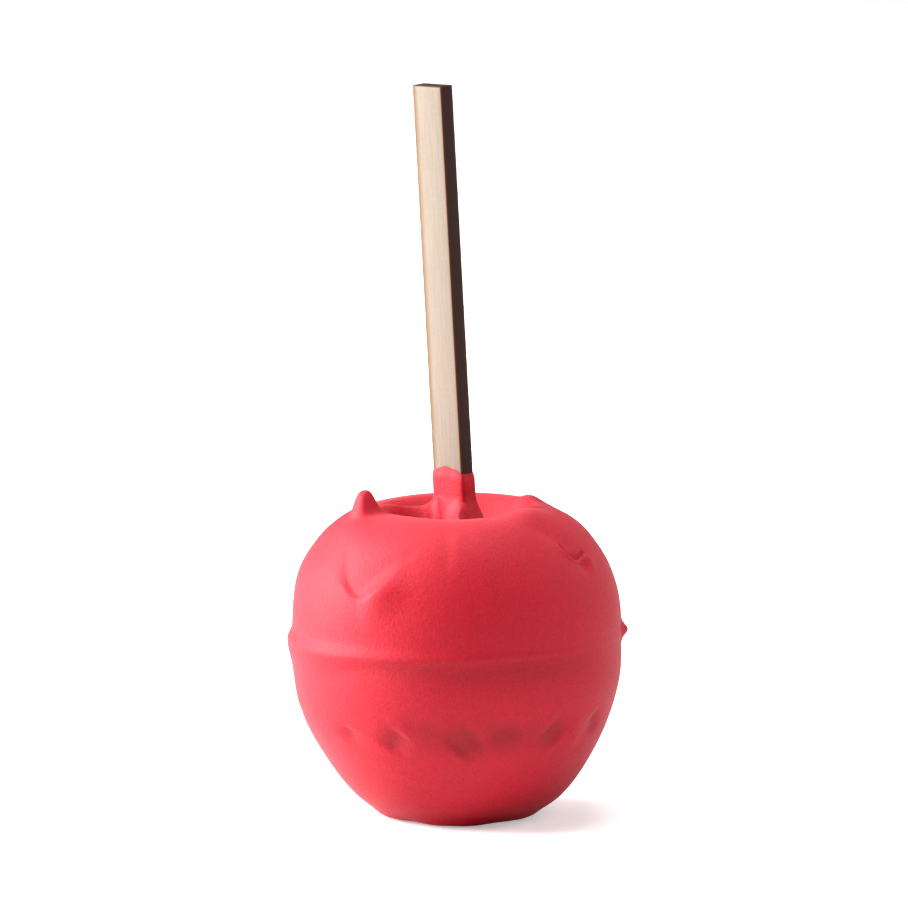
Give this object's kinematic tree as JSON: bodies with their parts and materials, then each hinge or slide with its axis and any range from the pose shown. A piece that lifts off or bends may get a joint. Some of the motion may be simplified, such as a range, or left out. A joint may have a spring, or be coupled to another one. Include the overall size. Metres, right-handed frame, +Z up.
{
  "type": "toffee apple",
  "caption": "Whole apple dipped in an opaque pink-red coating, standing on its flat foot, held by a flat wooden stick that leans a little.",
  "frame": {"origin": "middle of the flat foot that the coated apple stands on", "axes": "+Z up along the apple, +X to the right and -Y towards the front, where the fold over the left shoulder shows"},
  "size_m": [0.0807, 0.0792, 0.175],
  "materials": {
    "coating": "opaque pink-red coating, satin, with fine mottling",
    "wood": "pale laser-cut plywood, raw on the faces and burnt dark on the cut edges"
  },
  "bodies": {
    "root": {"coated_apple": "coating", "stick": "wood"}
  },
  "joints": []
}
